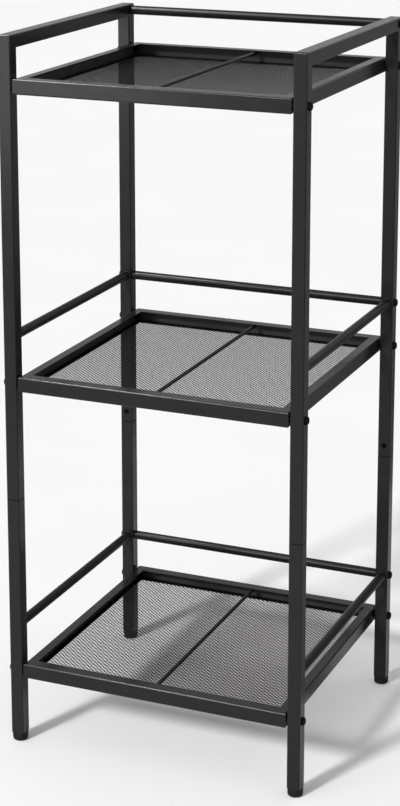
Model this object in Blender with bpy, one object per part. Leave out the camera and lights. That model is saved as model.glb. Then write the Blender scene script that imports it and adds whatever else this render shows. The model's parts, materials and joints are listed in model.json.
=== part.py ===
"""Freestanding storage rack: two side frames of square tube in two storeys, three mesh trays, rods and feet.

Metres, +Z up, front towards -Y. The origin is on the floor, under the middle of the rack.
"""

import math

import bmesh
import bpy

# Overall size
WIDTH = 0.397
DEPTH = 0.357
HEIGHT = 0.920

# Gap kept between pieces that touch
CLEARANCE = 0.0003

# Square tube of the posts and the top rails
POST_SIDE = 0.017
POST_WALL = 0.0012
POST_EDGE_RADIUS = 0.0015
BORE_EDGE_RADIUS = 0.0006

# Joint between the lower and the upper storey
SPLIT_HEIGHT = 0.329
NECK_LENGTH = 0.030
NECK_WALL = 0.0015
NECK_ROOT = 0.012
LOCK_RISE = 0.0155

# Round tube of the side rails and the back rods
RAIL_DIAMETER = 0.012
RAIL_WALL = 0.0012
RAIL_RISE = 0.0495
ROD_INSERT_LENGTH = 0.024

# Trays: their tops, and the room left beside the posts
BOTTOM_SHELF_TOP = 0.1085
MIDDLE_SHELF_TOP = 0.492
TOP_SHELF_DROP = 0.053
SHELF_GAP = 0.002
COLLAR_DIAMETER = 0.010

# Channel of the tray frames: web outside, flange on top, short lip below that carries the mesh
CHANNEL_HEIGHT = 0.019
CROSS_FLANGE = 0.016
SIDE_FLANGE = 0.013
CHANNEL_LIP = 0.007
CHANNEL_WALL = 0.0012
CHANNEL_BEND_RADIUS = 0.002

# Mesh panels, drawn as a net of a few wide gaps
NET_THICKNESS = 0.0015
NET_STRAND = 0.005
NET_CELLS = 6

# Tie rod from front to back, under the flanges
TIE_DIAMETER = 0.005

# Button-head screws of the trays and rods
SCREW_DIAMETER = 0.006
SCREW_HEAD_DIAMETER = 0.0105
SCREW_HEAD_HEIGHT = 0.003
SCREW_SOCKET = 0.004
SCREW_SOCKET_DEPTH = 0.0017
SHELF_SCREW_BITE = 0.0065
ROD_SCREW_BITE = 0.018

# Small button-head screws that lock the two storeys
LOCK_DIAMETER = 0.004
LOCK_HEAD_DIAMETER = 0.007
LOCK_HEAD_HEIGHT = 0.0018
LOCK_SOCKET = 0.0025
LOCK_SOCKET_DEPTH = 0.001
LOCK_BITE = 0.0025

# Outline of a button head from its underside to its crown: shares of its radius and of its height
HEAD_PROFILE = [(1.0, 0.0), (1.0, 0.2), (0.92, 0.7), (0.72, 1.0)]

# Feet
FOOT_HEIGHT = 0.010
FOOT_INSET = 0.0002
FOOT_CORNER_RADIUS = 0.0032
FOOT_ROUNDING = 0.0026
FOOT_PLUG_LENGTH = 0.018

# Fineness of round shapes
CORNER_STEPS = 2
RAIL_SIDES = 16
SCREW_SIDES = 12
FOOT_ROUND_STEPS = 3
SMOOTH_ANGLE = math.radians(35)

# Sides and ends of the rack, with the sign of their axis
SIDES = {"left": -1, "right": 1}
ENDS = {"front": -1, "back": 1}

# Rows of trays, with the storey of the posts that carries each
STOREYS = {"bottom": "lower", "middle": "upper", "top": "upper"}
SHELF_TOPS = {"bottom": BOTTOM_SHELF_TOP, "middle": MIDDLE_SHELF_TOP, "top": HEIGHT - TOP_SHELF_DROP}
ROD_HEIGHTS = {
    "bottom": BOTTOM_SHELF_TOP + RAIL_RISE,
    "middle": MIDDLE_SHELF_TOP + RAIL_RISE,
    "top": HEIGHT - POST_SIDE / 2,
}

# Sizes that follow from the ones above
POST_HALF = POST_SIDE / 2
POST_INNER_HALF = POST_HALF - POST_WALL
POST_X = WIDTH / 2 - POST_HALF
POST_Y = DEPTH / 2 - POST_HALF
SHELF_HALF_X = WIDTH / 2 - POST_SIDE - SHELF_GAP
SHELF_HALF_Y = DEPTH / 2
NET_HALF_X = SHELF_HALF_X - CHANNEL_WALL - CLEARANCE
NET_HALF_Y = SHELF_HALF_Y - CHANNEL_WALL - CLEARANCE
NET_BORDER = CHANNEL_LIP - CHANNEL_WALL - CLEARANCE
MITRE_GAP = CLEARANCE / math.sqrt(2)
SHELF_SCREW_LENGTH = CLEARANCE + POST_SIDE + SHELF_GAP + SHELF_SCREW_BITE
ROD_SCREW_LENGTH = CLEARANCE + POST_SIDE + CLEARANCE + ROD_SCREW_BITE
LOCK_LENGTH = CLEARANCE + POST_WALL + CLEARANCE + NECK_WALL + LOCK_BITE

# Turns that lay a piece built along +Z along another axis
AIM = {
    "+X": (0, math.pi / 2, 0),
    "-X": (0, -math.pi / 2, 0),
    "+Y": (-math.pi / 2, 0, 0),
    "-Y": (math.pi / 2, 0, 0),
    "+Z": (0, 0, 0),
}


# Materials

def make_material(name, colour, roughness, metallic):
    material = bpy.data.materials.new(name)
    material.use_nodes = True
    shader = material.node_tree.nodes["Principled BSDF"]
    shader.inputs["Base Color"].default_value = (*colour, 1.0)
    shader.inputs["Roughness"].default_value = roughness
    shader.inputs["Metallic"].default_value = metallic
    return material


def make_materials():
    return {
        "posts": make_material("post_coat", (0.040, 0.040, 0.041), 0.45, 0.0),
        "rails": make_material("rail_coat", (0.036, 0.036, 0.037), 0.35, 0.0),
        "trays": make_material("tray_coat", (0.042, 0.042, 0.043), 0.45, 0.0),
        "mesh": make_material("mesh_coat", (0.045, 0.045, 0.046), 0.5, 0.0),
        "screws": make_material("screw_black", (0.012, 0.012, 0.013), 0.35, 0.6),
        "feet": make_material("foot_plastic", (0.015, 0.015, 0.015), 0.55, 0.0),
    }


# Outlines and bodies

def rounded_rectangle(half_x, half_y, radius):
    points = []
    for corner, (sign_x, sign_y) in enumerate([(1, 1), (-1, 1), (-1, -1), (1, -1)]):
        for step in range(CORNER_STEPS + 1):
            angle = math.pi / 2 * (corner + step / CORNER_STEPS)
            x = sign_x * (half_x - radius) + radius * math.cos(angle)
            y = sign_y * (half_y - radius) + radius * math.sin(angle)
            points.append((x, y))
    return points


def circle(radius, sides, first=0.0):
    """Points round a circle. first turns them on by that share of a step."""
    turns = [2 * math.pi * (k + first) / sides for k in range(sides)]
    return [(radius * math.cos(turn), radius * math.sin(turn)) for turn in turns]


def hexagon(across_flats):
    """A hexagon with points at its corners and the middles of its flats, to match a circle of 12 points."""
    corner = across_flats / 2 / math.cos(math.pi / 6)
    points = circle(corner, SCREW_SIDES)
    return [(x, y) if k % 2 == 0 else (x * math.cos(math.pi / 6), y * math.cos(math.pi / 6))
            for k, (x, y) in enumerate(points)]


def level(outline, z):
    return [(x, y, z) for x, y in outline]


def finish_object(name, mesh, material, location, aim):
    mesh.materials.append(material)
    mesh.shade_smooth()
    mesh.set_sharp_from_angle(angle=SMOOTH_ANGLE)
    piece = bpy.data.objects.new(name, mesh)
    piece.location = location
    piece.rotation_euler = AIM[aim]
    bpy.context.scene.collection.objects.link(piece)
    return piece


def skin(name, loops, material, location=(0, 0, 0), aim="+Z", hollow=False):
    """One closed body over loops of equal length: hollow returns to its first loop, solid is capped."""
    shape = bmesh.new()
    rings = [[shape.verts.new(point) for point in loop] for loop in loops]
    pairs = list(zip(rings, rings[1:]))
    if hollow:
        pairs.append((rings[-1], rings[0]))
    else:
        shape.faces.new(rings[0])
        shape.faces.new(rings[-1])
    for low, high in pairs:
        for k in range(len(low)):
            after = (k + 1) % len(low)
            shape.faces.new((low[k], low[after], high[after], high[k]))
    bmesh.ops.recalc_face_normals(shape, faces=shape.faces)
    mesh = bpy.data.meshes.new(name)
    shape.to_mesh(mesh)
    shape.free()
    return finish_object(name, mesh, material, location, aim)


def section_tube(name, outer, inner, start, end, material, location, aim):
    """A straight hollow section along local Z. start and end give the height of each cut at a point."""
    loops = [
        [(x, y, start(x, y)) for x, y in outer],
        [(x, y, end(x, y)) for x, y in outer],
        [(x, y, end(x, y)) for x, y in inner],
        [(x, y, start(x, y)) for x, y in inner],
    ]
    return skin(name, loops, material, location, aim, hollow=True)


def as_tool(piece):
    """Marks a shape that only cuts or joins others."""
    piece.hide_render = True
    piece.display_type = "WIRE"
    return piece


def combine(piece, tool, operation):
    modifier = piece.modifiers.new(operation.lower() + "_" + tool.name, "BOOLEAN")
    modifier.operation = operation
    modifier.solver = "EXACT"
    modifier.object = tool


def post_section():
    outer = rounded_rectangle(POST_HALF, POST_HALF, POST_EDGE_RADIUS)
    inner = rounded_rectangle(POST_INNER_HALF, POST_INNER_HALF, BORE_EDGE_RADIUS)
    return outer, inner


# Side frames

def make_upper_post(side, end, materials):
    outer, inner = post_section()
    start_z = SPLIT_HEIGHT + CLEARANCE

    def mitre(x, y):
        return HEIGHT - (POST_HALF - ENDS[end] * y) - MITRE_GAP

    return section_tube(
        f"upper_post_{side}_{end}", outer, inner, lambda x, y: start_z, mitre, materials["posts"],
        (SIDES[side] * POST_X, ENDS[end] * POST_Y, 0), "+Z")


def make_lower_post(side, end, materials):
    """The lower post carries a neck, narrower than the bore of the upper post, that goes up into it."""
    outer, inner = post_section()
    neck_half = POST_INNER_HALF - CLEARANCE
    neck_bore = neck_half - NECK_WALL
    neck_outer = rounded_rectangle(neck_half, neck_half, BORE_EDGE_RADIUS)
    neck_inner = rounded_rectangle(neck_bore, neck_bore, BORE_EDGE_RADIUS)
    base = FOOT_HEIGHT + CLEARANCE
    neck_top = SPLIT_HEIGHT + NECK_LENGTH
    root = SPLIT_HEIGHT - NECK_ROOT
    loops = [
        level(outer, base),
        level(outer, SPLIT_HEIGHT),
        level(neck_outer, SPLIT_HEIGHT),
        level(neck_outer, neck_top),
        level(neck_inner, neck_top),
        level(neck_inner, root),
        level(inner, root),
        level(inner, base),
    ]
    return skin(f"lower_post_{side}_{end}", loops, materials["posts"],
                (SIDES[side] * POST_X, ENDS[end] * POST_Y, 0), hollow=True)


def make_top_rail(side, materials):
    """Laid along Y, local Y of the section points down, so the rail is longest at local -Y, its top."""
    outer, inner = post_section()

    def reach(y):
        return DEPTH / 2 - (y + POST_HALF) - MITRE_GAP

    return section_tube(
        f"top_rail_{side}", outer, inner, lambda x, y: -reach(y), lambda x, y: reach(y), materials["posts"],
        (SIDES[side] * POST_X, 0, HEIGHT - POST_HALF), "+Y")


def make_side_rail(row, side, materials):
    half = DEPTH / 2 - POST_SIDE - CLEARANCE
    return section_tube(
        f"side_rail_{row}_{side}", circle(RAIL_DIAMETER / 2, RAIL_SIDES),
        circle(RAIL_DIAMETER / 2 - RAIL_WALL, RAIL_SIDES), lambda x, y: -half, lambda x, y: half,
        materials["rails"], (SIDES[side] * POST_X, 0, ROD_HEIGHTS[row]), "+Y")


def make_foot(side, end, materials):
    """A plug in the post and, under it, a cap whose lower edge is rounded."""
    half = POST_HALF - FOOT_INSET
    plug_half = POST_INNER_HALF - CLEARANCE
    plug = rounded_rectangle(plug_half, plug_half, BORE_EDGE_RADIUS)
    loops = []
    for step in range(FOOT_ROUND_STEPS + 1):
        angle = math.pi / 2 * step / FOOT_ROUND_STEPS
        inset = FOOT_ROUNDING * (1 - math.sin(angle))
        z = FOOT_ROUNDING * (1 - math.cos(angle))
        loops.append(level(rounded_rectangle(half - inset, half - inset, FOOT_CORNER_RADIUS - inset), z))
    loops.append(level(rounded_rectangle(half, half, FOOT_CORNER_RADIUS), FOOT_HEIGHT))
    loops.append(level(plug, FOOT_HEIGHT))
    loops.append(level(plug, FOOT_HEIGHT + FOOT_PLUG_LENGTH))
    place = (SIDES[side] * POST_X, ENDS[end] * POST_Y, 0)
    return skin(f"foot_{side}_{end}", loops, materials["feet"], place)


# Back rods

def make_back_rod(row, materials):
    """A round tube with an insert at each end, bored for its screw."""
    half = WIDTH / 2 - POST_SIDE - CLEARANCE
    outer = circle(RAIL_DIAMETER / 2, RAIL_SIDES)
    inner = circle(RAIL_DIAMETER / 2 - RAIL_WALL, RAIL_SIDES)
    bore = circle(SCREW_DIAMETER / 2 + CLEARANCE, RAIL_SIDES)
    insert = half - ROD_INSERT_LENGTH
    loops = [
        level(outer, -half),
        level(outer, half),
        level(bore, half),
        level(bore, insert),
        level(inner, insert),
        level(inner, -insert),
        level(bore, -insert),
        level(bore, -half),
    ]
    place = (0, POST_Y, ROD_HEIGHTS[row])
    return skin(f"back_rod_{row}", loops, materials["rails"], place, "+X", hollow=True)


# Trays

def channel_section(flange):
    """Outline of a channel: distance inwards from the outer face, and height measured from the tray's top."""
    bend = CHANNEL_BEND_RADIUS
    steps = [math.pi / 2 * k / CORNER_STEPS for k in range(CORNER_STEPS + 1)]
    low_bend = [(bend * (1 - math.sin(t)), -CHANNEL_HEIGHT + bend * (1 - math.cos(t))) for t in steps]
    top_bend = [(bend * (1 - math.cos(t)), -bend * (1 - math.sin(t))) for t in steps]
    inside = [
        (flange, 0),
        (flange, -CHANNEL_WALL),
        (CHANNEL_WALL, -CHANNEL_WALL),
        (CHANNEL_WALL, -CHANNEL_HEIGHT + CHANNEL_WALL),
        (CHANNEL_LIP, -CHANNEL_HEIGHT + CHANNEL_WALL),
        (CHANNEL_LIP, -CHANNEL_HEIGHT),
    ]
    return low_bend + top_bend + inside


def mitre_cut(inward, flange, other_flange):
    """How far a channel ends short of the tray's corner. The cut runs to the inner corner of both flanges."""
    gap = CLEARANCE / 2 * math.hypot(flange, other_flange) / flange
    return inward * other_flange / flange + gap


def make_cross_channel(row, end, materials):
    """Front or back channel, along X: local X points down and local Y to the back. Its ends are mitred."""
    loops = []
    for half in (-SHELF_HALF_X, SHELF_HALF_X):
        towards_end = math.copysign(1, half)
        loops.append([(-up, -ENDS[end] * inward,
                       half - towards_end * mitre_cut(inward, CROSS_FLANGE, SIDE_FLANGE))
                      for inward, up in channel_section(CROSS_FLANGE)])
    return skin(f"tray_{row}_{end}_channel", loops, materials["trays"],
                (0, ENDS[end] * SHELF_HALF_Y, SHELF_TOPS[row]), "+X")


def make_side_channel(row, side, materials):
    """Left or right channel, along Y: local Y points down. Threaded collars stand against the posts."""
    loops = []
    for half in (-SHELF_HALF_Y, SHELF_HALF_Y):
        towards_end = math.copysign(1, half)
        loops.append([(-SIDES[side] * inward, -up,
                       half - towards_end * mitre_cut(inward, SIDE_FLANGE, CROSS_FLANGE))
                      for inward, up in channel_section(SIDE_FLANGE)])
    channel = skin(f"tray_{row}_{side}_channel", loops, materials["trays"],
                   (SIDES[side] * SHELF_HALF_X, 0, SHELF_TOPS[row]), "+Y")
    disc = circle(COLLAR_DIAMETER / 2, SCREW_SIDES)
    collar_loops = [level(disc, -CHANNEL_WALL / 2), level(disc, SHELF_GAP - CLEARANCE)]
    for end, sign in ENDS.items():
        place = (SIDES[side] * SHELF_HALF_X, sign * POST_Y, shelf_screw_height(row))
        collar = skin(f"collar_{row}_{side}_{end}", collar_loops, materials["trays"], place, outward(side))
        combine(channel, as_tool(collar), "UNION")
    return channel


def shelf_screw_height(row):
    return SHELF_TOPS[row] - CHANNEL_HEIGHT / 2


def outward(side):
    return "+X" if SIDES[side] > 0 else "-X"


def make_tie_rod(row, materials):
    half = SHELF_HALF_Y - CHANNEL_WALL - CLEARANCE
    bar = circle(TIE_DIAMETER / 2, SCREW_SIDES)
    axis_z = SHELF_TOPS[row] - CHANNEL_WALL - CLEARANCE - TIE_DIAMETER / 2
    loops = [level(bar, -half), level(bar, half)]
    return skin(f"tie_rod_{row}", loops, materials["rails"], (0, 0, axis_z), "+Y")


def net_gaps():
    """Outlines of the gaps between the borders: whole diamonds inside, half diamonds along the border."""
    half_x = NET_HALF_X - NET_BORDER
    half_y = NET_HALF_Y - NET_BORDER
    step_x = half_x / NET_CELLS
    step_y = half_y / NET_CELLS
    to_strand = step_x * step_y / math.hypot(step_x, step_y)
    reach_x = step_x * (1 - NET_STRAND / 2 / to_strand)
    reach_y = step_y * (1 - NET_STRAND / 2 / to_strand)
    gaps = []
    for i in range(-NET_CELLS, NET_CELLS + 1):
        for j in range(-NET_CELLS, NET_CELLS + 1):
            at_side = abs(i) == NET_CELLS
            at_end = abs(j) == NET_CELLS
            if (i + j) % 2 or (at_side and at_end):
                continue
            x = i * step_x
            y = j * step_y
            around = [(-1, 0), (0, -1), (1, 0), (0, 1)]
            inside = [(a, b) for a, b in around if abs(i + a) <= NET_CELLS and abs(j + b) <= NET_CELLS]
            gaps.append([(x + a * reach_x, y + b * reach_y) for a, b in inside])
    return gaps


def net_mesh():
    """A flat sheet with gaps, to be thickened downwards."""
    x = NET_HALF_X
    y = NET_HALF_Y
    border = [(-x, -y), (x, -y), (x, y), (-x, y)]
    sheet = bmesh.new()
    edges = []
    for outline in [border, *net_gaps()]:
        corners = [sheet.verts.new((px, py, 0)) for px, py in outline]
        for k, corner in enumerate(corners):
            edges.append(sheet.edges.new((corner, corners[(k + 1) % len(corners)])))
    bmesh.ops.triangle_fill(sheet, use_beauty=True, use_dissolve=False, edges=edges, normal=(0, 0, 1))
    mesh = bpy.data.meshes.new("net")
    sheet.to_mesh(mesh)
    sheet.free()
    return mesh


def make_mesh_panel(row, materials):
    """The net lies on the lips of the four channels."""
    underside = SHELF_TOPS[row] - CHANNEL_HEIGHT + CHANNEL_WALL + CLEARANCE
    place = (0, 0, underside + NET_THICKNESS)
    panel = finish_object(f"mesh_panel_{row}", net_mesh(), materials["mesh"], place, "+Z")
    thickness = panel.modifiers.new("thickness", "SOLIDIFY")
    thickness.thickness = NET_THICKNESS
    thickness.offset = -1
    return panel


# Screws

def make_screw(name, size, length, material, location, aim):
    """A button head with a hexagon socket, its underside at the object's origin, and a plain shank below."""
    radius = size["head"] / 2
    socket = hexagon(size["socket"])
    loops = [level(socket, size["head_height"] - size["socket_depth"]), level(socket, size["head_height"])]
    for radius_share, height_share in reversed(HEAD_PROFILE):
        loops.append(level(circle(radius * radius_share, SCREW_SIDES), size["head_height"] * height_share))
    shank = circle(size["shank"] / 2, SCREW_SIDES)
    loops.append(level(shank, 0))
    loops.append(level(shank, -length))
    return skin(name, loops, material, location, aim)


def make_drill(name, size, length, material, location, aim):
    """The round way that a screw's shank needs through the pieces it passes."""
    hole = circle(size["shank"] / 2 + CLEARANCE, SCREW_SIDES, first=0.5)
    loops = [level(hole, CLEARANCE), level(hole, -length - CLEARANCE)]
    return as_tool(skin(name, loops, material, location, aim))


def side_screw(name, length, side, y, z, material):
    """A large screw through a post from the rack's outer side. Returns its drill."""
    size = {"shank": SCREW_DIAMETER, "head": SCREW_HEAD_DIAMETER, "head_height": SCREW_HEAD_HEIGHT,
            "socket": SCREW_SOCKET, "socket_depth": SCREW_SOCKET_DEPTH}
    place = (SIDES[side] * (WIDTH / 2 + CLEARANCE), y, z)
    make_screw(name, size, length, material, place, outward(side))
    return make_drill("drill_" + name, size, length, material, place, outward(side))


def lock_screw(side, material):
    """A small screw through the front face of a back post, into the neck inside it. Returns its drill."""
    size = {"shank": LOCK_DIAMETER, "head": LOCK_HEAD_DIAMETER, "head_height": LOCK_HEAD_HEIGHT,
            "socket": LOCK_SOCKET, "socket_depth": LOCK_SOCKET_DEPTH}
    place = (SIDES[side] * POST_X, DEPTH / 2 - POST_SIDE - CLEARANCE, SPLIT_HEIGHT + LOCK_RISE)
    make_screw(f"lock_screw_{side}", size, LOCK_LENGTH, material, place, "-Y")
    return make_drill(f"drill_lock_screw_{side}", size, LOCK_LENGTH, material, place, "-Y")


# Assembly

def build_side_frames(materials):
    """Posts, feet, rails and locks. Returns the posts and the top rails, which other screws pass."""
    posts = {}
    top_rails = {}
    for side in SIDES:
        for end in ENDS:
            posts["upper", side, end] = make_upper_post(side, end, materials)
            posts["lower", side, end] = make_lower_post(side, end, materials)
            make_foot(side, end, materials)
        drill = lock_screw(side, materials["screws"])
        combine(posts["upper", side, "back"], drill, "DIFFERENCE")
        combine(posts["lower", side, "back"], drill, "DIFFERENCE")
        top_rails[side] = make_top_rail(side, materials)
        for row in ("bottom", "middle"):
            make_side_rail(row, side, materials)
    return posts, top_rails


def build_tray(row, posts, materials):
    make_mesh_panel(row, materials)
    make_tie_rod(row, materials)
    for end in ENDS:
        make_cross_channel(row, end, materials)
    for side in SIDES:
        channel = make_side_channel(row, side, materials)
        for end, sign in ENDS.items():
            drill = side_screw(f"tray_screw_{row}_{side}_{end}", SHELF_SCREW_LENGTH, side, sign * POST_Y,
                               shelf_screw_height(row), materials["screws"])
            combine(posts[STOREYS[row], side, end], drill, "DIFFERENCE")
            combine(channel, drill, "DIFFERENCE")


def build_back_rod(row, posts, top_rails, materials):
    make_back_rod(row, materials)
    for side in SIDES:
        drill = side_screw(f"rod_screw_{row}_{side}", ROD_SCREW_LENGTH, side, POST_Y, ROD_HEIGHTS[row],
                           materials["screws"])
        combine(posts[STOREYS[row], side, "back"], drill, "DIFFERENCE")
        if row == "top":
            combine(top_rails[side], drill, "DIFFERENCE")


def build_rack():
    materials = make_materials()
    posts, top_rails = build_side_frames(materials)
    for row in STOREYS:
        build_tray(row, posts, materials)
        build_back_rod(row, posts, top_rails, materials)


for old in list(bpy.data.objects):
    bpy.data.objects.remove(old)
build_rack()
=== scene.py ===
"""Looks of the storage rack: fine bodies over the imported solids, their coats, floor, light and camera."""

import json
import math

import bmesh
import bpy
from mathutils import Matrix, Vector


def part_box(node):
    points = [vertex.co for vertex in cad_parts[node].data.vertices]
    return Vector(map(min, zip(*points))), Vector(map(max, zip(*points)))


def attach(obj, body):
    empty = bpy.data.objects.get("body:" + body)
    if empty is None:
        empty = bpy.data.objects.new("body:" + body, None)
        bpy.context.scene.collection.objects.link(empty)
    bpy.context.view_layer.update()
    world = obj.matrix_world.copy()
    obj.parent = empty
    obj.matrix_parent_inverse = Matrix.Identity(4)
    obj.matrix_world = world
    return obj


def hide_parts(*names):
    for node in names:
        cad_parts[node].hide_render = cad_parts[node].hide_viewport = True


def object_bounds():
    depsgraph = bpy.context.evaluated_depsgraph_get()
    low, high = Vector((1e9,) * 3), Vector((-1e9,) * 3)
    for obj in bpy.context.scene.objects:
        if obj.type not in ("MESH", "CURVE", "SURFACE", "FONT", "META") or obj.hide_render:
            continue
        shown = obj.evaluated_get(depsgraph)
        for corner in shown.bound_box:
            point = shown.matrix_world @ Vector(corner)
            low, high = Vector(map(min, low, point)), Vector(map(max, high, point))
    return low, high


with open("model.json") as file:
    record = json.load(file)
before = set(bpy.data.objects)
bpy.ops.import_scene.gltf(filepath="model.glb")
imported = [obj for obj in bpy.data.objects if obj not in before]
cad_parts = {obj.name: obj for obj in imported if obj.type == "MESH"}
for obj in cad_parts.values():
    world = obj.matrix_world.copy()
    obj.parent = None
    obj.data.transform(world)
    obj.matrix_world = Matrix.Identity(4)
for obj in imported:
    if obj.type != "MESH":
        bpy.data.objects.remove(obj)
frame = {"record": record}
CAD_LOW, CAD_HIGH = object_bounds()
SLOTS = {part["node"]: part["material_slot"] for part in frame["record"]["subparts"]}

# Sides, ends and rows of the rack, as they stand in the nodes' names
SIDES = {"left": -1, "right": 1}
ENDS = {"front": -1, "back": 1}
ROWS = ("bottom", "middle", "top")
RAIL_ROWS = ("bottom", "middle")
X_AXIS = Vector((1, 0, 0))
Y_AXIS = Vector((0, 1, 0))
Z_AXIS = Vector((0, 0, 1))

# Square tube of the posts and the top rails
POST_WALL = 0.0012
POST_EDGE_RADIUS = 0.0015
BORE_EDGE_RADIUS = 0.0006
CORNER_RADIUS = 0.0022
SEAM_ROUNDING = 0.0006
SEAM_DROP = 0.0003
NECK_WALL = 0.0015
NECK_LENGTH = 0.030
NECK_ROOT = 0.012
CLEARANCE = 0.0003

# Round tube and rod
TUBE_WALL = 0.0012
WELD_RISE = 0.0009
WELD_LENGTH = 0.0022
END_ROUNDING = 0.0006

# Folded channel of the trays
CHANNEL_WALL = 0.0012
CHANNEL_LIP = 0.007
CHANNEL_BEND_RADIUS = 0.002
CROSS_FLANGE = 0.016
SIDE_FLANGE = 0.013
COLLAR_DIAMETER = 0.010
COLLAR_ROUNDING = 0.0004

# Expanded mesh of the trays, with the number of half cells from the middle to the border
MESH_STRAND = 0.0011
MESH_THICKNESS = 0.0006
MESH_CROWN = 0.00015
MESH_CELLS_X = 54
MESH_CELLS_Y = 62
MESH_BORDER = 0.0055

# Button-head screws: head height, shank, socket across its flats and socket depth
SIDE_SCREW = {"head_height": 0.003, "shank": 0.006, "socket": 0.004, "socket_depth": 0.0017}
LOCK_SCREW = {"head_height": 0.0018, "shank": 0.004, "socket": 0.0025, "socket_depth": 0.001}
HEAD_RIM_SHARE = 0.22
HEAD_CROWN_SHARE = 0.62

# Feet
FOOT_HEIGHT = 0.010
FOOT_INSET = 0.0002
FOOT_CORNER_RADIUS = 0.0032
FOOT_BASE_RADIUS = 0.0098
FOOT_BASE_INSET = 0.0026
FOOT_BASE_RISE = 0.0030
FOOT_PLUG_LENGTH = 0.018

# Fineness of round shapes
CORNER_STEPS = 6
ROUND_SIDES = 40
SCREW_SIDES = 36
ARC_STEPS = 6
SMOOTH_ANGLE = math.radians(40)

# Points that lie closer than this are one point
SAME_POINT = 1e-7

# Noise in the materials: its scale and detail, and the stretch of its values that is used
CLOUDS = {"scale": 55.0, "detail": 4.0}
GLOSS = {"scale": 160.0, "detail": 3.0}
STAGE_CLOUDS = {"scale": 3.0, "detail": 2.0}
GRAIN_DETAIL = 2.0
NOISE_LOW = 0.3
NOISE_HIGH = 0.7

# Coats: their darkest and lightest tone, least and most roughness, specular level and grain
POWDER_GRAIN = {"scale": 1300.0, "strength": 0.12, "depth": 0.00012}
MOULD_GRAIN = {"scale": 2200.0, "strength": 0.35, "depth": 0.00010}
COATS = {
    "frame_coat": {
        "name": "satin_frame_coat",
        "tones": (0.010, 0.012),
        "roughness": (0.20, 0.26),
        "specular": 0.19,
        "grain": POWDER_GRAIN,
    },
    "rail_coat": {
        "name": "satin_rail_coat",
        "tones": (0.006, 0.009),
        "roughness": (0.30, 0.36),
        "specular": 0.10,
        "grain": POWDER_GRAIN,
    },
    "tray_coat": {
        "name": "satin_tray_coat",
        "tones": (0.010, 0.012),
        "roughness": (0.20, 0.26),
        "specular": 0.19,
        "grain": POWDER_GRAIN,
    },
    "mesh_coat": {
        "name": "satin_mesh_coat",
        "tones": (0.005, 0.007),
        "roughness": (0.42, 0.50),
        "specular": 0.03,
        "grain": POWDER_GRAIN,
    },
    "screw_black": {
        "name": "black_screw_finish",
        "tones": (0.003, 0.004),
        "roughness": (0.30, 0.42),
        "specular": 0.04,
        "grain": POWDER_GRAIN,
    },
    "foot_plastic": {
        "name": "moulded_black_plastic",
        "tones": (0.010, 0.013),
        "roughness": (0.45, 0.55),
        "specular": 0.06,
        "grain": MOULD_GRAIN,
    },
}

# Paler copy of the coat inside the channels' webs, painted light that lifts the shade under the flanges, and
# how squarely a face has to look inwards to get it
WEB_PAINTED_LIGHT_COAT = {
    "name": "painted_light_web_coat",
    "tones": (0.026, 0.032),
    "roughness": (0.40, 0.50),
    "specular": 0.19,
    "grain": POWDER_GRAIN,
}
INSIDE_FACING = 0.5

# Floor, and the dullness that it shares with the cards
FLOOR_REACH = 30.0
FLOOR_TONES = (0.93, 0.95)
FLOOR_SPECULAR = 0.1
STAGE_ROUGHNESS = 0.9

# Cards that only reflections see: turn about the upright and lean backwards in degrees
CARD_UNEVENNESS = 0.05
CARD_SPECULAR = 0.5
CARDS = {
    "right_card": {
        "place": (0.56, -0.045, 0.0),
        "turn": -23,
        "lean": 45,
        "width": 0.74,
        "height": 1.25,
        "grey": 0.22,
    },
    "back_right_card": {
        "place": (0.47, 0.88, 0.0),
        "turn": -23,
        "lean": 45,
        "width": 1.1,
        "height": 1.35,
        "grey": 0.20,
    },
    "back_left_card": {
        "place": (-0.52, 1.3, 0.0),
        "turn": 22,
        "lean": 0,
        "width": 1.8,
        "height": 1.7,
        "grey": 0.46,
    },
    "front_card": {
        "place": (0.83, -1.19, 0.0),
        "turn": 32,
        "lean": 0,
        "width": 1.2,
        "height": 0.7,
        "grey": 0.02,
    },
}

# World and lamps
WORLD_LIGHT = 0.55
BACKDROP_LIGHT = 1.0
WHITE = (1, 1, 1, 1)
KEY_STRENGTH = 2.6
KEY_ANGLE = math.radians(8)
KEY_PLACE = (-0.86, -2.37, 2.09)
SOFTBOX_POWER = 3.5
SOFTBOX_SIZE = 0.55
SOFTBOX_PLACE = (-0.75, -1.3, 0.80)
EDGE_POWER = 45.0
EDGE_SIZE = 0.3
EDGE_PLACE = (-0.76, -0.34, 1.96)
RACK_MIDDLE = (0, 0, 0.46)
TOP_LEFT_CORNER = (-0.18, -0.18, 0.87)

# Camera, with no more shift than keeps the rack whole in the views from other sides
CAMERA_PLACE = (0.9795, -2.3344, 1.2486)
CAMERA_YAW = math.radians(22.95)
CAMERA_PITCH = math.radians(12.21)
CAMERA_SHIFT_Y = -0.255
FOCAL_PIXELS = 2044.6
PHOTO_LONG_SIDE = 806


# Materials

def new_material(name):
    material = bpy.data.materials.new(name)
    material.use_nodes = True
    return material, material.node_tree, material.node_tree.nodes["Principled BSDF"]


def noise(tree, scale, detail):
    place = tree.nodes.new("ShaderNodeTexCoord")
    texture = tree.nodes.new("ShaderNodeTexNoise")
    texture.inputs["Scale"].default_value = scale
    texture.inputs["Detail"].default_value = detail
    tree.links.new(place.outputs["Object"], texture.inputs["Vector"])
    return texture.outputs["Fac"]


def map_range(tree, value, low, high):
    node = tree.nodes.new("ShaderNodeMapRange")
    node.inputs["From Min"].default_value = NOISE_LOW
    node.inputs["From Max"].default_value = NOISE_HIGH
    node.inputs["To Min"].default_value = low
    node.inputs["To Max"].default_value = high
    tree.links.new(value, node.inputs["Value"])
    return node.outputs["Result"]


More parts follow.
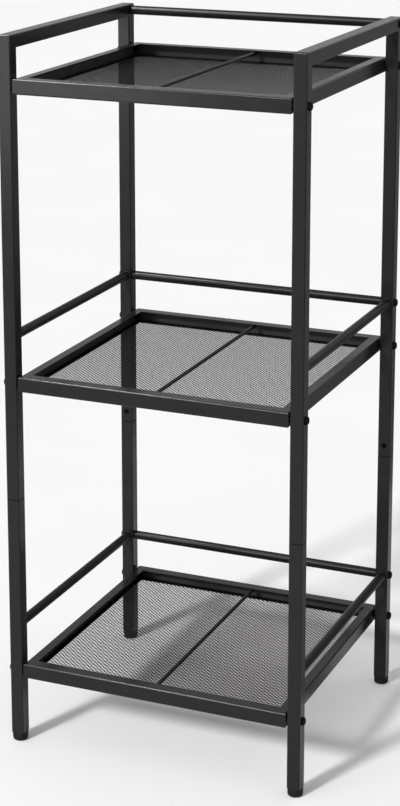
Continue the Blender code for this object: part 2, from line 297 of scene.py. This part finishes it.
def grey_range(tree, value, dark, light):
    node = tree.nodes.new("ShaderNodeValToRGB")
    first, last = node.color_ramp.elements
    first.position = NOISE_LOW
    first.color = (dark, dark, dark, 1)
    last.position = NOISE_HIGH
    last.color = (light, light, light, 1)
    tree.links.new(value, node.inputs["Fac"])
    return node.outputs["Color"]


def bump(tree, shader, height, strength, distance):
    node = tree.nodes.new("ShaderNodeBump")
    node.inputs["Strength"].default_value = strength
    node.inputs["Distance"].default_value = distance
    tree.links.new(height, node.inputs["Height"])
    tree.links.new(node.outputs["Normal"], shader.inputs["Normal"])


def coat_material(coat):
    """A black coat: clouds of a slightly lighter tone, uneven gloss and a fine grain."""
    material, tree, shader = new_material(coat["name"])
    clouds = noise(tree, **CLOUDS)
    gloss = noise(tree, **GLOSS)
    tree.links.new(grey_range(tree, clouds, *coat["tones"]), shader.inputs["Base Color"])
    tree.links.new(map_range(tree, gloss, *coat["roughness"]), shader.inputs["Roughness"])
    shader.inputs["Specular IOR Level"].default_value = coat["specular"]
    grain = coat["grain"]
    bump(tree, shader, noise(tree, grain["scale"], GRAIN_DETAIL), grain["strength"], grain["depth"])
    return material


def stage_material(name, dark, light, specular):
    """A dull, slightly cloudy surface for the floor and the cards."""
    material, tree, shader = new_material(name)
    clouds = noise(tree, **STAGE_CLOUDS)
    tree.links.new(grey_range(tree, clouds, dark, light), shader.inputs["Base Color"])
    shader.inputs["Roughness"].default_value = STAGE_ROUGHNESS
    shader.inputs["Specular IOR Level"].default_value = specular
    return material


MATERIALS = {slot: coat_material(coat) for slot, coat in COATS.items()}
# The channels' inner webs get a paler copy of the coat: painted light in place of their shade
WEB_PAINTED_LIGHT = coat_material(WEB_PAINTED_LIGHT_COAT)


# Outlines and bodies

def rounded_square(half, radius):
    points = []
    for corner, (sign_x, sign_y) in enumerate([(1, 1), (-1, 1), (-1, -1), (1, -1)]):
        for step in range(CORNER_STEPS + 1):
            angle = math.pi / 2 * (corner + step / CORNER_STEPS)
            x = sign_x * (half - radius) + radius * math.cos(angle)
            y = sign_y * (half - radius) + radius * math.sin(angle)
            points.append((x, y))
    return points


def circle(radius, sides):
    turns = [2 * math.pi * k / sides for k in range(sides)]
    return [(radius * math.cos(turn), radius * math.sin(turn)) for turn in turns]


def hexagon(across_flats, sides):
    """Points of a hexagon at the same turns as a circle of that many points."""
    points = []
    for k in range(sides):
        turn = 2 * math.pi * k / sides
        from_flat = (turn % (math.pi / 3)) - math.pi / 6
        radius = across_flats / 2 / math.cos(from_flat)
        points.append((radius * math.cos(turn), radius * math.sin(turn)))
    return points


def level(outline, z):
    return [(x, y, z) for x, y in outline]


def quarter_turns():
    return [math.pi / 2 * k / ARC_STEPS for k in range(ARC_STEPS + 1)]


def quarter_arc():
    """Share of the way in, and share of the way up, along a quarter circle."""
    return [(1 - math.sin(turn), 1 - math.cos(turn)) for turn in quarter_turns()]


def skin(loops, hollow=False):
    """One closed body over loops of equal length: hollow returns to its first loop, solid is capped."""
    body = bmesh.new()
    rings = [[body.verts.new(point) for point in loop] for loop in loops]
    pairs = list(zip(rings, rings[1:]))
    if hollow:
        pairs.append((rings[-1], rings[0]))
    else:
        body.faces.new(rings[0])
        body.faces.new(rings[-1])
    for low, high in pairs:
        for k in range(len(low)):
            after = (k + 1) % len(low)
            body.faces.new((low[k], low[after], high[after], high[k]))
    bmesh.ops.remove_doubles(body, verts=body.verts, dist=SAME_POINT)
    bmesh.ops.recalc_face_normals(body, faces=body.faces)
    return body


def to_mesh(name, *bodies):
    """One mesh of one or more bodies, which are used up."""
    whole = bpy.data.meshes.new(name)
    joined = bmesh.new()
    for body in bodies:
        part = bpy.data.meshes.new(name + "_part")
        body.to_mesh(part)
        body.free()
        joined.from_mesh(part)
        bpy.data.meshes.remove(part)
    joined.to_mesh(whole)
    joined.free()
    return whole


def show(node, mesh, location=(0, 0, 0), along=Z_AXIS, smooth_angle=SMOOTH_ANGLE):
    """Puts a mesh, built along +Z, in the place of a CAD node and dresses it in the node's coat."""
    piece = bpy.data.objects.new(node + "_shown", mesh)
    piece.location = location
    piece.rotation_mode = "QUATERNION"
    piece.rotation_quaternion = Z_AXIS.rotation_difference(along)
    bpy.context.scene.collection.objects.link(piece)
    if not mesh.materials:
        mesh.materials.append(MATERIALS[SLOTS[node]])
        mesh.shade_smooth()
        mesh.set_sharp_from_angle(angle=smooth_angle)
    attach(piece, "root")
    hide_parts(node)
    return piece


def flatten_faces(piece):
    """Keeps large faces evenly shaded beside their rounded edges."""
    normals = piece.modifiers.new("even_faces", "WEIGHTED_NORMAL")
    normals.keep_sharp = True


def middle(low, high):
    return (low + high) / 2


# Posts and top rails

def mitre_loops(outline, depth):
    """Loops of the rounded corner: each point, its distance from the tube's outer face and from its end."""
    loops = []
    for k in range(ARC_STEPS + 1):
        turn = math.pi / 4 * k / ARC_STEPS
        loop = []
        for point in outline:
            across = along = depth(point)
            if across < CORNER_RADIUS:
                reach = CORNER_RADIUS - across
                across = CORNER_RADIUS - reach * math.cos(turn)
                along = CORNER_RADIUS - reach * math.sin(turn)
            loop.append((point, across, along))
        loops.append(loop)
    return loops


def post_outlines(half):
    outer = rounded_square(half, POST_EDGE_RADIUS)
    inner = rounded_square(half - POST_WALL, BORE_EDGE_RADIUS)
    return outer, inner


def seam_outline(half):
    """A post's outline at its seam, drawn in by the rounding of the cut edge."""
    return rounded_square(half - SEAM_ROUNDING, POST_EDGE_RADIUS - SEAM_ROUNDING)


def show_upper_post(side, end):
    """A post that meets the top rail in a mitre whose outer edge is rounded."""
    node = f"upper_post_{side}_{end}"
    low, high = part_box(node)
    half = (high.x - low.x) / 2
    outward = ENDS[end]
    top = CAD_HIGH.z
    outer, inner = post_outlines(half)
    loops = [level(seam_outline(half), low.z), level(outer, low.z + SEAM_ROUNDING)]
    for loop in mitre_loops(outer, lambda point: half - outward * point[1]):
        loops.append([(point[0], outward * (half - across), top - along) for point, across, along in loop])
    loops.append([(x, y, top - (half - outward * y)) for x, y in inner])
    loops.append(level(inner, low.z))
    place = middle(low, high)
    flatten_faces(show(node, to_mesh(node, skin(loops, hollow=True)), (place.x, place.y, 0)))


def show_top_rail(side):
    """Built along Y: across is measured down from the top, along from the frame's front or back."""
    node = f"top_rail_{side}"
    low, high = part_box(node)
    half = (high.x - low.x) / 2
    top = CAD_HIGH.z
    reach = CAD_HIGH.y
    outer, inner = post_outlines(half)
    ends = []
    for sign in (-1, 1):
        mitre = []
        for loop in mitre_loops(outer, lambda point: half - point[1]):
            mitre.append([(point[0], sign * (reach - along), top - across) for point, across, along in loop])
        bore = [(x, sign * (reach - (half - up)), top - (half - up)) for x, up in inner]
        ends.append([bore] + mitre[::-1])
    front, back = ends
    place = middle(low, high)
    flatten_faces(show(node, to_mesh(node, skin(front + back[::-1], hollow=True)), (place.x, 0, 0)))


def show_lower_post(side, end):
    """A post with a narrower neck that goes up into the upper post."""
    node = f"lower_post_{side}_{end}"
    low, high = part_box(node)
    half = (high.x - low.x) / 2
    split = high.z - NECK_LENGTH
    outer, inner = post_outlines(half)
    seam = seam_outline(half)
    neck_half = half - POST_WALL - CLEARANCE
    neck_outer = rounded_square(neck_half, BORE_EDGE_RADIUS)
    neck_inner = rounded_square(neck_half - NECK_WALL, BORE_EDGE_RADIUS)
    loops = [
        level(seam, low.z),
        level(outer, low.z + SEAM_ROUNDING),
        level(outer, split - SEAM_DROP),
        level(seam, split),
        level(neck_outer, split),
        level(neck_outer, high.z),
        level(neck_inner, high.z),
        level(neck_inner, split - NECK_ROOT),
        level(inner, split - NECK_ROOT),
        level(inner, low.z),
    ]
    place = middle(low, high)
    flatten_faces(show(node, to_mesh(node, skin(loops, hollow=True)), (place.x, place.y, 0)))


def show_foot(side, end):
    """A moulded cap, square under the post and round at its base, and its plug inside the post."""
    node = f"foot_{side}_{end}"
    low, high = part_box(node)
    half = (high.x - low.x) / 2
    plug = rounded_square(half + FOOT_INSET - POST_WALL - CLEARANCE, BORE_EDGE_RADIUS)
    loops = []
    for inset_share, rise_share in quarter_arc():
        radius = FOOT_BASE_RADIUS - FOOT_BASE_INSET * inset_share
        loops.append(level(rounded_square(radius, radius), FOOT_BASE_RISE * rise_share))
    cap = rounded_square(half, FOOT_CORNER_RADIUS)
    cap_top = rounded_square(half - END_ROUNDING, FOOT_CORNER_RADIUS - END_ROUNDING)
    loops.append(level(cap, FOOT_HEIGHT - END_ROUNDING))
    loops.append(level(cap_top, FOOT_HEIGHT))
    loops.append(level(plug, FOOT_HEIGHT))
    loops.append(level(plug, FOOT_HEIGHT + FOOT_PLUG_LENGTH))
    place = middle(low, high)
    flatten_faces(show(node, to_mesh(node, skin(loops)), (place.x, place.y, 0)))


# Rails and rods

def show_round(node, along, profile, bore=None):
    """A turned piece, bored or solid. profile is its radius and distance from its middle, end to end."""
    low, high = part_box(node)
    loops = [level(circle(radius, ROUND_SIDES), z) for radius, z in profile]
    if bore:
        ends = (profile[-1][1], profile[0][1])
        loops += [level(circle(bore, ROUND_SIDES), z) for z in ends]
    show(node, to_mesh(node, skin(loops, hollow=bool(bore))), middle(low, high), along)


def both_ends(profile):
    """The whole profile of a piece that is the same at both ends, from the profile of its first end."""
    return profile + [(radius, -z) for radius, z in reversed(profile)]


def plain_end(radius, half):
    """Profile of a cut end with a small rounding."""
    return [(radius - END_ROUNDING, -half), (radius, -half + END_ROUNDING)]


def show_side_rail(row, side):
    """Welded between two posts: a small fillet of weld at each end."""
    node = f"side_rail_{row}_{side}"
    low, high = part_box(node)
    radius = (high.z - low.z) / 2
    half = (high.y - low.y) / 2
    weld = []
    for inset_share, rise_share in quarter_arc():
        weld.append((radius + WELD_RISE * inset_share, -half + WELD_LENGTH * rise_share))
    show_round(node, Y_AXIS, both_ends(weld), radius - TUBE_WALL)


def show_back_rod(row):
    node = f"back_rod_{row}"
    low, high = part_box(node)
    radius = (high.z - low.z) / 2
    half = (high.x - low.x) / 2
    bore = SIDE_SCREW["shank"] / 2 + CLEARANCE
    show_round(node, X_AXIS, both_ends(plain_end(radius, half)), bore)


def show_tie_rod(row):
    node = f"tie_rod_{row}"
    low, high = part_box(node)
    radius = (high.z - low.z) / 2
    half = (high.y - low.y) / 2
    show_round(node, Y_AXIS, both_ends(plain_end(radius, half)))


# Trays

def channel_section(flange, height):
    """Outline of a channel: distance inwards from its outer face, and height from the tray's top."""
    bend = CHANNEL_BEND_RADIUS
    inside = bend - CHANNEL_WALL
    low = -height + bend
    turns = quarter_turns()
    low_bend = [(bend - bend * math.sin(turn), low - bend * math.cos(turn)) for turn in turns]
    top_bend = [(bend - bend * math.cos(turn), -bend + bend * math.sin(turn)) for turn in turns]
    flange_edge = [(flange, 0), (flange, -CHANNEL_WALL)]
    top_inside = [(bend - inside * math.cos(turn), -bend + inside * math.sin(turn)) for turn in turns]
    low_inside = [(bend - inside * math.sin(turn), low - inside * math.cos(turn)) for turn in turns]
    lip_edge = [(CHANNEL_LIP, -height + CHANNEL_WALL), (CHANNEL_LIP, -height)]
    return low_bend + top_bend + flange_edge + top_inside[::-1] + low_inside[::-1] + lip_edge


def tray_box(row):
    """Lowest and highest corner of a tray's frame, without the collars at its sides."""
    low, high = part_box(f"tray_{row}_front_channel")
    back_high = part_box(f"tray_{row}_back_channel")[1]
    mitre = CLEARANCE / 2 * math.hypot(CROSS_FLANGE, SIDE_FLANGE) / CROSS_FLANGE
    return Vector((low.x - mitre, low.y, low.z)), Vector((high.x + mitre, back_high.y, high.z))


def paint_light_on_inner_web(piece, inward, face):
    """A paler copy of the coat on the inner face of a channel's web: painted light that lifts the shade
    under the flange. face is where its outer face lies.
    """
    inside = len(piece.data.materials)
    piece.data.materials.append(WEB_PAINTED_LIGHT)
    for polygon in piece.data.polygons:
        depth = polygon.center.dot(inward) - face
        if polygon.normal.dot(inward) > INSIDE_FACING and depth < 2 * CHANNEL_WALL:
            polygon.material_index = inside


def show_cross_channel(row, end):
    """Front or back channel, along X, mitred to the side channels."""
    node = f"tray_{row}_{end}_channel"
    low, high = tray_box(row)
    outward = ENDS[end]
    face = high.y if outward > 0 else low.y
    section = channel_section(CROSS_FLANGE, high.z - low.z)
    loops = []
    for sign in (-1, 1):
        loop = []
        for inward, up in section:
            reach = high.x - inward * SIDE_FLANGE / CROSS_FLANGE
            loop.append((sign * reach, face - outward * inward, high.z + up))
        loops.append(loop)
    piece = show(node, to_mesh(node, skin(loops)))
    paint_light_on_inner_web(piece, -outward * Y_AXIS, -outward * face)
    flatten_faces(piece)


def collar(screw, web, face, outward):
    """A collar round a tray screw, from the middle of the channel's web to the face that meets the post."""
    centre = middle(*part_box(screw))
    radius = COLLAR_DIAMETER / 2
    stations = [(radius, web), (radius, face - outward * COLLAR_ROUNDING), (radius - COLLAR_ROUNDING, face)]
    loops = []
    for size, x in stations:
        loops.append([(x, centre.y + a, centre.z + b) for a, b in circle(size, SCREW_SIDES)])
    return skin(loops)


def show_side_channel(row, side):
    """Left or right channel, along Y, with the collars that stand against the posts."""
    node = f"tray_{row}_{side}_channel"
    low, high = tray_box(row)
    outward = SIDES[side]
    section = channel_section(SIDE_FLANGE, high.z - low.z)
    loops = []
    for sign in (-1, 1):
        loop = []
        for inward, up in section:
            reach = high.y - inward * CROSS_FLANGE / SIDE_FLANGE
            loop.append((outward * (high.x - inward), sign * reach, high.z + up))
        loops.append(loop)
    bodies = [skin(loops)]
    node_low, node_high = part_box(node)
    collar_face = node_high.x if outward > 0 else node_low.x
    web = outward * (high.x - CHANNEL_WALL / 2)
    for end in ENDS:
        bodies.append(collar(f"tray_screw_{row}_{side}_{end}", web, collar_face, outward))
    piece = show(node, to_mesh(node, *bodies))
    paint_light_on_inner_web(piece, -outward * X_AXIS, -high.x)
    flatten_faces(piece)


def mesh_cells(half_x, half_y):
    """Flat faces round the mesh's holes. A point is x, y and whether it is on the middle of a strand."""
    step_x = half_x / MESH_CELLS_X
    step_y = half_y / MESH_CELLS_Y
    to_strand = step_x * step_y / math.hypot(step_x, step_y)
    hole = 1 - MESH_STRAND / 2 / to_strand
    around = [(-1, 0), (0, -1), (1, 0), (0, 1)]
    faces = []
    for i in range(-MESH_CELLS_X, MESH_CELLS_X + 1):
        for j in range(-MESH_CELLS_Y, MESH_CELLS_Y + 1):
            if (i + j) % 2:
                continue
            kept = [abs(i + a) <= MESH_CELLS_X and abs(j + b) <= MESH_CELLS_Y for a, b in around]
            crossings = [((i + a) * step_x, (j + b) * step_y, True) for a, b in around]
            rims = [((i + a * hole) * step_x, (j + b * hole) * step_y, False) for a, b in around]
            at_corner = abs(i) == MESH_CELLS_X and abs(j) == MESH_CELLS_Y
            if at_corner:
                beside = [point for point, keep in zip(crossings, kept) if keep]
                faces.append([(i * step_x, j * step_y, True)] + beside)
                continue
            for k in range(len(around)):
                after = (k + 1) % len(around)
                if kept[k] and kept[after]:
                    faces.append([crossings[k], crossings[after], rims[after], rims[k]])
    return faces


def mesh_border(half_x, half_y, cells):
    """Flat faces of the plain border, which meets the mesh at each point of its edge."""
    faces = []
    points = {point for face in cells for point in face}
    for axis, half in ((0, half_x), (1, half_y)):
        for sign in (-1, 1):
            inner = sign * half
            outer = sign * (half + MESH_BORDER)
            line = sorted({(p[1 - axis], p[2]) for p in points if abs(p[axis] - inner) < SAME_POINT})
            for (a, a_middle), (b, b_middle) in zip(line, line[1:]):
                if b - a < SAME_POINT:
                    continue
                strip = [(inner, a, a_middle), (inner, b, b_middle), (outer, b, True), (outer, a, True)]
                faces.append([(p[axis], p[1 - axis], p[2]) for p in strip])
    for sign_x in (-1, 1):
        for sign_y in (-1, 1):
            x, far_x = sign_x * half_x, sign_x * (half_x + MESH_BORDER)
            y, far_y = sign_y * half_y, sign_y * (half_y + MESH_BORDER)
            faces.append([(x, y, True), (far_x, y, True), (far_x, far_y, True), (x, far_y, True)])
    return faces


def thick_mesh(name, faces):
    """Gives flat faces a thickness: a crown along the strands' middles and a wall round every opening."""
    numbers = {}
    corners = []
    uses = {}
    flat = []
    for face in faces:
        ring = []
        for x, y, on_middle in face:
            key = (round(x / SAME_POINT), round(y / SAME_POINT))
            if key not in numbers:
                numbers[key] = len(corners)
                corners.append((x, y, MESH_THICKNESS / 2 - (0 if on_middle else MESH_CROWN)))
            ring.append(numbers[key])
        flat.append(ring)
        for a, b in zip(ring, ring[1:] + ring[:1]):
            uses.setdefault(frozenset((a, b)), []).append((a, b))
    below = len(corners)
    polygons = flat + [[below + k for k in reversed(ring)] for ring in flat]
    polygons += [[b, a, below + a, below + b] for ends in uses.values() if len(ends) == 1 for a, b in ends]
    mesh = bpy.data.meshes.new(name)
    mesh.from_pydata(corners + [(x, y, -z) for x, y, z in corners], [], polygons)
    body = bmesh.new()
    body.from_mesh(mesh)
    bmesh.ops.recalc_face_normals(body, faces=body.faces)
    body.to_mesh(mesh)
    body.free()
    return mesh


def show_mesh_panels():
    """The same sheet of mesh on the lips of every tray."""
    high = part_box("mesh_panel_top")[1]
    half_x = high.x - MESH_BORDER
    half_y = high.y - MESH_BORDER
    cells = mesh_cells(half_x, half_y)
    sheet = thick_mesh("mesh_sheet", cells + mesh_border(half_x, half_y, cells))
    for row in ROWS:
        node = f"mesh_panel_{row}"
        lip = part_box(node)[0].z
        show(node, sheet, (0, 0, lip + MESH_THICKNESS / 2), smooth_angle=math.pi)


# Screws

def show_screw(node, screw, out):
    """A button head with a hexagon socket, and its shank. out points from the post to the head."""
    low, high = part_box(node)
    extent = high - low
    length = abs(extent.dot(out))
    head_radius = max(extent - extent.dot(out) * out) / 2
    crown = middle(low, high) + out * length / 2
    height = screw["head_height"]
    socket = hexagon(screw["socket"], SCREW_SIDES)
    loops = [level(socket, -screw["socket_depth"]), level(socket, 0)]
    for inset_share, rise_share in quarter_arc():
        radius = head_radius * (HEAD_CROWN_SHARE + (1 - HEAD_CROWN_SHARE) * (1 - inset_share))
        loops.append(level(circle(radius, SCREW_SIDES), -height * (1 - HEAD_RIM_SHARE) * rise_share))
    loops.append(level(circle(head_radius, SCREW_SIDES), -height))
    shank = circle(screw["shank"] / 2, SCREW_SIDES)
    loops.append(level(shank, -height))
    loops.append(level(shank, -length))
    show(node, to_mesh(node, skin(loops)), crown, out)


# Assembly

def show_rack():
    for side, outward in SIDES.items():
        show_top_rail(side)
        for end in ENDS:
            show_upper_post(side, end)
            show_lower_post(side, end)
            show_foot(side, end)
        for row in RAIL_ROWS:
            show_side_rail(row, side)
        for row in ROWS:
            show_side_channel(row, side)
            show_screw(f"rod_screw_{row}_{side}", SIDE_SCREW, outward * X_AXIS)
            for end in ENDS:
                show_screw(f"tray_screw_{row}_{side}_{end}", SIDE_SCREW, outward * X_AXIS)
        show_screw(f"lock_screw_{side}", LOCK_SCREW, -Y_AXIS)
    for row in ROWS:
        show_back_rod(row)
        show_tie_rod(row)
        for end in ENDS:
            show_cross_channel(row, end)
    show_mesh_panels()


# Floor, cards, light and camera

def stage_sheet(name, corners, material):
    """A flat sheet that isn't part of the rack."""
    body = bmesh.new()
    body.faces.new([body.verts.new(corner) for corner in corners])
    mesh = to_mesh(name, body)
    mesh.materials.append(material)
    sheet = bpy.data.objects.new(name, mesh)
    bpy.context.scene.collection.objects.link(sheet)
    return sheet


def make_floor():
    """Just under the feet, so that their undersides don't lie in its plane."""
    reach = FLOOR_REACH
    corners = [(-reach, -reach), (reach, -reach), (reach, reach), (-reach, reach)]
    material = stage_material("pale_floor", *FLOOR_TONES, FLOOR_SPECULAR)
    stage_sheet("studio_floor", level(corners, -CLEARANCE), material)


def make_card(name, card):
    """A card, out of the picture, that only reflections see."""
    half = card["width"] / 2
    height = card["height"]
    dark = card["grey"] * (1 - CARD_UNEVENNESS)
    light = card["grey"] * (1 + CARD_UNEVENNESS)
    material = stage_material(name + "_paper", dark, light, CARD_SPECULAR)
    corners = [(-half, 0, 0), (half, 0, 0), (half, 0, height), (-half, 0, height)]
    sheet = stage_sheet(name, corners, material)
    sheet.location = card["place"]
    sheet.rotation_euler = (-math.radians(card["lean"]), 0, math.radians(card["turn"]))
    sheet.visible_camera = False
    sheet.visible_diffuse = False
    sheet.visible_shadow = False


def make_world():
    """Even light from all round. The camera and reflections see it as a white backdrop."""
    world = bpy.data.worlds.new("studio")
    world.use_nodes = True
    tree = world.node_tree
    light = tree.nodes["Background"]
    light.inputs["Color"].default_value = WHITE
    light.inputs["Strength"].default_value = WORLD_LIGHT
    backdrop = tree.nodes.new("ShaderNodeBackground")
    backdrop.inputs["Color"].default_value = WHITE
    backdrop.inputs["Strength"].default_value = BACKDROP_LIGHT
    path = tree.nodes.new("ShaderNodeLightPath")
    seen = path.outputs["Is Camera Ray"]
    for kind in ("Is Glossy Ray", "Is Transmission Ray"):
        either = tree.nodes.new("ShaderNodeMath")
        either.operation = "MAXIMUM"
        tree.links.new(seen, either.inputs[0])
        tree.links.new(path.outputs[kind], either.inputs[1])
        seen = either.outputs["Value"]
    mix = tree.nodes.new("ShaderNodeMixShader")
    tree.links.new(seen, mix.inputs["Fac"])
    tree.links.new(light.outputs["Background"], mix.inputs[1])
    tree.links.new(backdrop.outputs["Background"], mix.inputs[2])
    tree.links.new(mix.outputs["Shader"], tree.nodes["World Output"].inputs["Surface"])
    bpy.context.scene.world = world


def make_lamp(name, kind, strength, place, target):
    lamp = bpy.data.lights.new(name, kind)
    lamp.energy = strength
    holder = bpy.data.objects.new(name, lamp)
    holder.location = place
    holder.rotation_euler = (Vector(target) - Vector(place)).to_track_quat("-Z", "Y").to_euler()
    bpy.context.scene.collection.objects.link(holder)
    return holder


def make_lamps():
    """A low sun from the front left, a softbox, and a lamp over the top left corner for gloss alone."""
    key = make_lamp("key_light", "SUN", KEY_STRENGTH, KEY_PLACE, RACK_MIDDLE)
    key.data.angle = KEY_ANGLE
    softbox = make_lamp("softbox", "AREA", SOFTBOX_POWER, SOFTBOX_PLACE, TOP_LEFT_CORNER)
    softbox.data.size = SOFTBOX_SIZE
    edge = make_lamp("edge_light", "AREA", EDGE_POWER, EDGE_PLACE, TOP_LEFT_CORNER)
    edge.data.size = EDGE_SIZE
    edge.visible_diffuse = False


def make_camera():
    data = bpy.data.cameras.new("camera")
    data.lens = FOCAL_PIXELS / PHOTO_LONG_SIDE * data.sensor_width
    data.shift_y = CAMERA_SHIFT_Y
    camera = bpy.data.objects.new("camera", data)
    camera.location = CAMERA_PLACE
    camera.rotation_euler = (math.pi / 2 - CAMERA_PITCH, 0, CAMERA_YAW)
    bpy.context.scene.collection.objects.link(camera)
    bpy.context.scene.camera = camera


show_rack()
make_floor()
for card_name, card_values in CARDS.items():
    make_card(card_name, card_values)
make_world()
make_lamps()
make_camera()
bpy.context.scene.view_settings.view_transform = "Standard"
